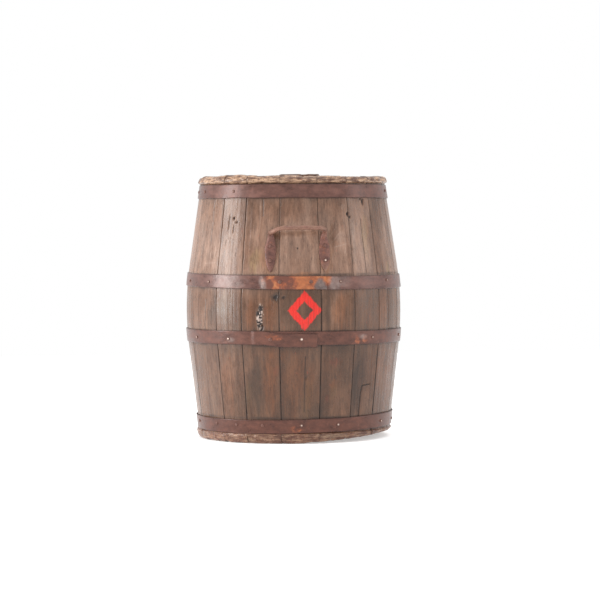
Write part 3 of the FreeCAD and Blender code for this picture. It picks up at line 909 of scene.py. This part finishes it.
class Shader:
    """A material whose nodes are added one by one, each reading the ones before it.

    A node's inputs are constants, other nodes' outputs or the names of masks.
    """

    def __init__(self, name):
        self.material = bpy.data.materials.new(name)
        self.material.use_nodes = True
        self.nodes = self.material.node_tree.nodes
        self.links = self.material.node_tree.links
        self.nodes.clear()

    def node(self, kind, inputs, output=0, **settings):
        node = self.nodes.new(kind)
        for key, value in settings.items():
            setattr(node, key, value)
        for key, value in inputs.items():
            if isinstance(value, str):
                value = self.node("ShaderNodeAttribute", {}, "Fac", attribute_name=value)
            if isinstance(value, bpy.types.NodeSocket):
                self.links.new(value, node.inputs[key])
            else:
                node.inputs[key].default_value = value
        return node.outputs[output]

    def noise(self, scale, detail=3.0, roughness=0.55):
        """Noise from 0 to 1 along the grain, with its fineness per metre for each axis."""
        grain = self.node("ShaderNodeAttribute", {}, "Vector", attribute_name="grain")
        inputs = {
            "Vector": self.times(grain, scale),
            "Scale": 1.0,
            "Detail": detail,
            "Roughness": roughness,
        }
        return self.node("ShaderNodeTexNoise", inputs, "Fac")

    def ramp(self, value, low, high, start=0.0, stop=1.0):
        inputs = {"Value": value, "From Min": low, "From Max": high}
        inputs |= {"To Min": start, "To Max": stop}
        return self.node("ShaderNodeMapRange", inputs)

    def math(self, operation, first, second):
        return self.node("ShaderNodeMath", {0: first, 1: second}, operation=operation)

    def product(self, *values):
        result = values[0]
        for value in values[1:]:
            result = self.math("MULTIPLY", result, value)
        return result

    def times(self, first, second):
        """Two colours or vectors multiplied, channel by channel."""
        return self.node("ShaderNodeVectorMath", {0: first, 1: second}, operation="MULTIPLY")

    def mix(self, share, first, second):
        """Two colours mixed, each from a node or as numbers from 0 to 255."""
        first, second = [linear(c) if isinstance(c, tuple) else c for c in (first, second)]
        inputs = {0: share, 6: first, 7: second}
        return self.node("ShaderNodeMix", inputs, 2, data_type="RGBA")

    def bump(self, height, distance, strength=1.0, normal=None):
        inputs = {"Height": height, "Distance": distance, "Strength": strength}
        if normal:
            inputs["Normal"] = normal
        return self.node("ShaderNodeBump", inputs)

    def finish(self, base, roughness, normal, specular=0.5, metallic=0.0):
        inputs = {"Base Color": base, "Roughness": roughness, "Normal": normal}
        inputs |= {"Specular IOR Level": specular, "Metallic": metallic}
        return self.output(self.node("ShaderNodeBsdfPrincipled", inputs))

    def output(self, surface):
        end = self.nodes.new("ShaderNodeOutputMaterial")
        self.links.new(surface, end.inputs["Surface"])
        return self.material


# Stains on the wood, and the painted sheen and painted highlights that the pale mask carries:
# mask, colour and how strong it is.
OAK_STAINS_AND_SHEEN = (
    ("warm", (178, 122, 84), 0.75),
    ("grey", (92, 82, 76), 0.8),
    ("yellow", (156, 134, 92), 0.6),
    ("pink", (178, 106, 90), 0.7),
    ("pale_wear_and_sheen", (206, 188, 178), 0.6),
    ("wine", (72, 34, 40), 0.85),
)


def oak_material(name, light, brown, fresh):
    """Weathered wood in two colours, with fresh wood where it has chipped."""
    shader = Shader(name)
    fibres = shader.noise((420, 420, 9), 4, 0.6)
    threads = shader.noise((170, 170, 3.4), 3, 0.6)
    pores = shader.noise((1300, 1300, 38), 2, 0.5)
    bands = shader.noise((60, 60, 2.6), 4, 0.6)
    blotches = shader.noise((22, 22, 9), 4, 0.6)
    checks = shader.noise((240, 240, 4.0), 3, 0.55)
    mottle = shader.noise((70, 70, 42), 5, 0.7)

    toned = shader.math("ADD", bands, shader.product("tone", 0.16))
    base = shader.mix(shader.ramp(toned, 0.34, 0.68), brown, light)
    base = shader.mix(shader.ramp(blotches, 0.46, 0.72, 0, 0.45), base, (150, 108, 82))
    base = shader.mix(shader.ramp(blotches, 0.46, 0.24, 0, 0.5), base, (120, 106, 98))
    along_fibres = shader.ramp(fibres, 0.3, 0.62, 0.35, 1.0)
    for mask, tint, strength in OAK_STAINS_AND_SHEEN:
        share = shader.product(mask, along_fibres, strength)
        base = shader.mix(share, base, tint)

    # The last factor and the browned mix darken the wood for dirt and as painted shade.
    streaks = shader.product(
        shader.ramp(fibres, 0.25, 0.75, 0.78, 1.2),
        shader.ramp(pores, 0.3, 0.6, 0.9, 1.05),
        shader.ramp(threads, 0.3, 0.7, 0.84, 1.14),
        shader.ramp(mottle, 0.3, 0.7, 0.8, 1.2),
        shader.math("SUBTRACT", 1.0, "grime_and_shade"),
    )
    base = shader.node("ShaderNodeVectorMath", {0: base, "Scale": streaks}, operation="SCALE")
    browned = shader.times(base, (1.02, 0.77, 0.56))
    base = shader.mix(shader.ramp("grime_and_shade", 0.2, 0.7), base, browned)
    base = chipped(shader, base, fresh)
    base = painted(shader, base, fibres, checks)
    base = shader.mix(shader.ramp(checks, 0.31, 0.25, 0.0, 0.75), base, (62, 44, 36))
    base = shader.mix("dark", base, (36, 25, 22))

    roughness = shader.ramp(mottle, 0.3, 0.7, 0.17, 0.4)
    roughness = shader.math("ADD", roughness, shader.ramp(fibres, 0.3, 0.7, -0.05, 0.08))
    roughness = shader.math("ADD", roughness, shader.product("dark", 0.25))
    normal = shader.bump(fibres, 0.0006, 0.5)
    normal = shader.bump(pores, 0.0002, 0.35, normal)
    normal = shader.bump(shader.ramp(checks, 0.25, 0.31), 0.0006, 0.6, normal)
    return shader.finish(base, roughness, normal, 0.42)


def chipped(shader, base, fresh):
    """Fresh wood in patches with dark pits between them, where the worn mask is on."""
    patches = shader.noise((42, 42, 230), 5, 0.65)
    pits = shader.noise((330, 330, 260), 3, 0.6)
    torn = shader.mix(shader.ramp(patches, 0.43, 0.6), (84, 54, 42), fresh)
    torn = shader.mix(shader.ramp(pits, 0.57, 0.67), torn, (72, 46, 38))
    return shader.mix("worn", base, torn)


def painted(shader, base, fibres, checks):
    """Red paint where the paint mask is on, with a frayed edge and gaps along the checks."""
    fray = shader.noise((150, 150, 60), 5, 0.75)
    paint = shader.math("ADD", "paint", shader.ramp(fray, 0.25, 0.75, -0.5, 0.5))
    unbroken = shader.ramp(checks, 0.34, 0.4, 0.5, 1.0)
    paint = shader.product(shader.ramp(paint, 0.3, 0.75), unbroken)
    red = shader.mix(shader.ramp(fibres, 0.3, 0.7), (196, 30, 24), (222, 48, 34))
    return shader.mix(paint, base, red)


def iron_material(name, plain, deep, faded_and_sheen, rough_low, rough_high):
    """Rusty iron in a plain and a deeper brown, with a faded colour for its pale marks, which are
    wear and, on the hoops, partly painted sheen.
    """
    shader = Shader(name)
    patches = shader.noise((30, 30, 60), 5, 0.65)
    specks = shader.noise((420, 420, 420), 3, 0.6)
    clouds = shader.noise((110, 110, 130), 4, 0.6)
    base = shader.mix(shader.ramp(patches, 0.36, 0.66), deep, plain)
    base = shader.mix(shader.ramp(clouds, 0.52, 0.72, 0, 0.35), base, (138, 92, 76))
    browned = shader.times(base, (0.78, 0.58, 0.46))
    base = shader.mix("brown", base, browned)
    base = shader.mix(shader.ramp(specks, 0.58, 0.7, 0, 0.5), base, (64, 44, 42))

    flakes = shader.noise((75, 75, 75), 5, 0.65)
    soot = shader.mix(shader.ramp(flakes, 0.35, 0.65), (78, 66, 66), (122, 104, 98))
    base = marked(shader, base, "rust", orange_rust(shader, flakes), clouds)
    base = marked(shader, base, "burnt", (104, 62, 50), clouds)
    base = marked(shader, base, "soot", soot, clouds, 0.35)
    share = shader.product("pale_wear_and_sheen", shader.ramp(flakes, 0.35, 0.6, 0.35, 1.0))
    base = shader.mix(share, base, faded_and_sheen)
    base = shader.mix("dark", base, (66, 44, 40))

    roughness = shader.ramp(patches, 0.3, 0.7, rough_low, rough_high)
    roughness = shader.math("ADD", roughness, shader.product("rust", 0.25))
    normal = shader.bump(clouds, 0.0006, 0.5)
    normal = shader.bump(specks, 0.0002, 0.4, normal)
    return shader.finish(base, roughness, normal, 0.4, 0.15)


def orange_rust(shader, flakes):
    """Three colours in flakes, brighter where the rust mask goes over 1."""
    orange = shader.mix(shader.ramp(flakes, 0.36, 0.52), (100, 58, 46), (154, 86, 56))
    orange = shader.mix(shader.ramp(flakes, 0.52, 0.7), orange, (176, 118, 78))
    bright = shader.ramp("rust", 1.0, 1.6, 0, 0.6)
    return shader.mix(bright, orange, (180, 112, 72))


def marked(shader, base, mask, tint, clouds, softness=0.25):
    """The base, coloured where a mask is on, with an edge that the clouds make uneven."""
    edge = shader.math("ADD", mask, shader.ramp(clouds, 0.25, 0.75, -0.3, 0.3))
    return shader.mix(shader.ramp(edge, 0.5 - softness, 0.5 + softness), base, tint)


def nail_material():
    """Rusty nail heads, some of them rubbed bright on the crown."""
    shader = Shader("nail_iron")
    which = shader.noise((14, 14, 14), 0, 0.5)
    specks = shader.noise((600, 600, 600), 3, 0.6)
    crown = shader.math("SUBTRACT", "crown", shader.ramp(which, 0.36, 0.5, 1.0, 0.0))
    base = shader.mix(shader.ramp(specks, 0.35, 0.65), (84, 56, 50), (122, 86, 74))
    base = shader.mix(crown, base, (216, 196, 182))
    roughness = shader.ramp(crown, 0.0, 1.0, 0.5, 0.3)
    return shader.finish(base, roughness, shader.bump(specks, 0.0002, 0.5), 0.35, 0.2)


# ---- handles, nails and rivets

# Middle and half width of the rusty stretch of hoop whose nails have rusted with it.
RUST_PATCH = (radians(-2), radians(16))
# How far the grip sags at its left end, and rises at its right end.
GRIP_SAG = 0.0045
GRIP_RISE = 0.0015


def make_fasteners(node, shine, material):
    """Nails or rivets. In a lap or under a handle, only some are rubbed bright."""
    piece, points, normals = remeshed(node, node + "_worn", material, FASTENER_WEAR)
    angle = angle_of(points)
    outwards = (normals[:, :2] * points[:, :2]).sum(1) / radius_of(points)
    crown = shine * ramp(outwards, 0.93, 0.995)
    if not node.endswith("hoop_nails"):
        at_right = wrapped(angle - sum(span_of(node)) / 2)
        crown = crown * ramp(at_right, 0, 0.01)
    if node.startswith(HANDLES):
        crown = crown * (points[:, 2] < points[:, 2].mean())
    elif node.startswith("upper_bilge_hoop"):
        middle, half_width = RUST_PATCH
        crown = crown * ramp(np.abs(angle - middle), half_width, half_width + 0.01)
    add_masks(piece, {"grain": points, "crown": crown})


def off_wall(points):
    """1 on a handle's grip and 0 on its legs."""
    return ramp(radius_of(points) - side_radius(points[:, 2]), 0.004, 0.03)


def from_middle(points):
    """How far a handle's points lie to the right of its middle, seen from outside."""
    return -np.sign(points[:, 1]) * points[:, 0]


def bent(points):
    """Where a handle's points are once its grip has sagged."""
    right = from_middle(points)
    sag = GRIP_SAG * ramp(-right, 0.04, 0.066) - GRIP_RISE * ramp(right, 0.03, 0.06)
    lower = off_wall(points) * sag
    return points - np.stack([0 * lower, 0 * lower, lower], -1)


def make_handle(node, material):
    piece, points, _ = remeshed(node, node + "_forged", material, HANDLE_WEAR)
    piece.data.vertices.foreach_set("co", bent(vertex_vectors(piece.data)).ravel())
    piece.data.update()
    legs = 1 - off_wall(points)
    right_leg = legs * ramp(from_middle(points), 0.02, 0.04)
    above = points[:, 2] - points[:, 2].min()
    tip = 0.7 * right_leg * (1 - ramp(above, 0.004, 0.03))
    pale_wear_and_sheen = np.maximum(0.5 * (1 - legs), tip)
    rust = 0.16 * legs + 0.08 * right_leg
    add_masks(piece, {"grain": points, "pale_wear_and_sheen": pale_wear_and_sheen, "rust": rust})


# ---- heads and bung

def make_board(head, number, across, material):
    """One board of a head. across is the direction from board to board."""
    node = f"{head}_board_{number}"
    piece, points, _ = remeshed(node, node + "_oak", material, BOARD_WEAR)
    place = points[:, :2] @ across
    along = points[:, :2] @ np.array([-across[1], across[0]])
    edge = np.minimum(place - place.min(), place.max() - place)
    grain = np.stack([place + 0.3 * number, points[:, 2], along + 0.7 * number], -1)
    tone = 0.5 * SEED.uniform(-1, 1)
    dark = 0.85 * np.exp(-((edge / 0.0025) ** 2))
    add_masks(piece, {"grain": grain, "tone": tone, "dark": dark})


def make_head(head, material):
    third, fourth = [mesh_points(f"{head}_board_{number}").mean(0) for number in (3, 4)]
    step = (third - fourth)[:2]
    across = step / np.linalg.norm(step)
    for number in range(1, HEAD_BOARDS + 1):
        make_board(head, number, across, material)
    dowels = frame["nodes"][head + "_dowels"]
    dowels.data.materials.clear()
    dowels.data.materials.append(material)


def make_bung(material):
    piece, points, _ = remeshed("bung", "bung_turned", material, BUNG_WEAR, "bung")
    along = (points - [0, 0, BUNG_HEIGHT]) @ BUNG_AXIS
    side = np.cross([0, 0, 1], BUNG_AXIS)
    grain = np.stack([points @ side, along, points[:, 2]], -1)
    wine = 1 - ramp(along - along.min(), 0.004, 0.024)
    add_masks(piece, {"grain": grain, "wine": wine})


# ---- floor, light and camera

def make_floor():
    shader = Shader("floor")
    mesh = bpy.data.meshes.new("floor")
    corners = [(-1, -1), (1, -1), (1, 1), (-1, 1)]
    points = [(FLOOR_HALF * x, FLOOR_HALF * y, 0) for x, y in corners]
    mesh.from_pydata(points, [], [(0, 1, 2, 3)])
    paper = shader.node("ShaderNodeBsdfDiffuse", {"Color": (0.8, 0.8, 0.8, 1)})
    glow = shader.node("ShaderNodeEmission", {"Color": (1, 1, 1, 1), "Strength": FLOOR_GLOW})
    surface = shader.node("ShaderNodeAddShader", {0: paper, 1: glow})
    mesh.materials.append(shader.output(surface))
    floor = bpy.data.objects.new("floor", mesh)
    bpy.context.scene.collection.objects.link(floor)


def make_light(name, place, target, size, power):
    light = bpy.data.lights.new(name, "AREA")
    light.shape = "RECTANGLE"
    light.size, light.size_y = size
    light.energy = power
    lamp = bpy.data.objects.new(name, light)
    lamp.location = place
    lamp.rotation_euler = (Vector(target) - Vector(place)).to_track_quat("-Z", "Y").to_euler()
    bpy.context.scene.collection.objects.link(lamp)


def make_world():
    world = bpy.data.worlds.new("studio")
    world.use_nodes = True
    background = world.node_tree.nodes["Background"]
    background.inputs["Color"].default_value = (1, 1, 1, 1)
    background.inputs["Strength"].default_value = 1.0
    bpy.context.scene.world = world
    bpy.context.scene.view_settings.view_transform = "Standard"


def make_camera():
    camera = bpy.data.cameras.new("camera")
    camera.lens = CAMERA_LENS
    camera.sensor_width = SENSOR_WIDTH
    turn = radians(CAMERA_AZIMUTH)
    seat = bpy.data.objects.new("camera", camera)
    x, y = CAMERA_DISTANCE * sin(turn), -CAMERA_DISTANCE * cos(turn)
    seat.location = (x, y, CAMERA_HEIGHT)
    aim = Euler((radians(90 + CAMERA_PITCH), 0, turn + radians(CAMERA_YAW)))
    roll = Quaternion((0, 0, 1), radians(CAMERA_ROLL))
    seat.rotation_euler = (aim.to_quaternion() @ roll).to_euler()
    bpy.context.scene.collection.objects.link(seat)
    bpy.context.scene.camera = seat


# ---- putting it together

OAK = oak_material("oak_staves", (172, 140, 122), (132, 102, 86), (194, 158, 128))
HEAD_OAK = oak_material("oak_heads", (160, 130, 108), (112, 86, 70), (190, 150, 112))
BUNG_OAK = oak_material("bung_wood", (178, 140, 106), (134, 98, 72), (206, 164, 124))
HOOP_IRON = iron_material("hoop_iron", (114, 81, 73), (84, 57, 51), (168, 154, 148), 0.24, 0.42)
FORGED_IRON = iron_material("handle_iron", (130, 88, 76), (84, 54, 48), (148, 114, 94), 0.36, 0.55)
NAIL_IRON = nail_material()

for stave_number in range(1, len(STAVES) + 1):
    make_stave(stave_number, OAK)
for hoop_number, hoop_name in enumerate(HOOPS):
    make_hoop(hoop_name, hoop_number, HOOP_IRON)
for hoop_name, look in HOOPS.items():
    make_fasteners(hoop_name + "_nails", look["shine"], NAIL_IRON)
    make_fasteners(hoop_name + "_lap_rivets", look["shine"], NAIL_IRON)
for handle_name in HANDLES:
    make_handle(handle_name, FORGED_IRON)
    make_fasteners(handle_name + "_nails", HANDLE_NAIL_SHINE, NAIL_IRON)
for head_name in HEADS:
    make_head(head_name, HEAD_OAK)
make_bung(BUNG_OAK)

make_floor()
for lamp_settings in LAMPS:
    make_light(*lamp_settings)
make_world()
make_camera()
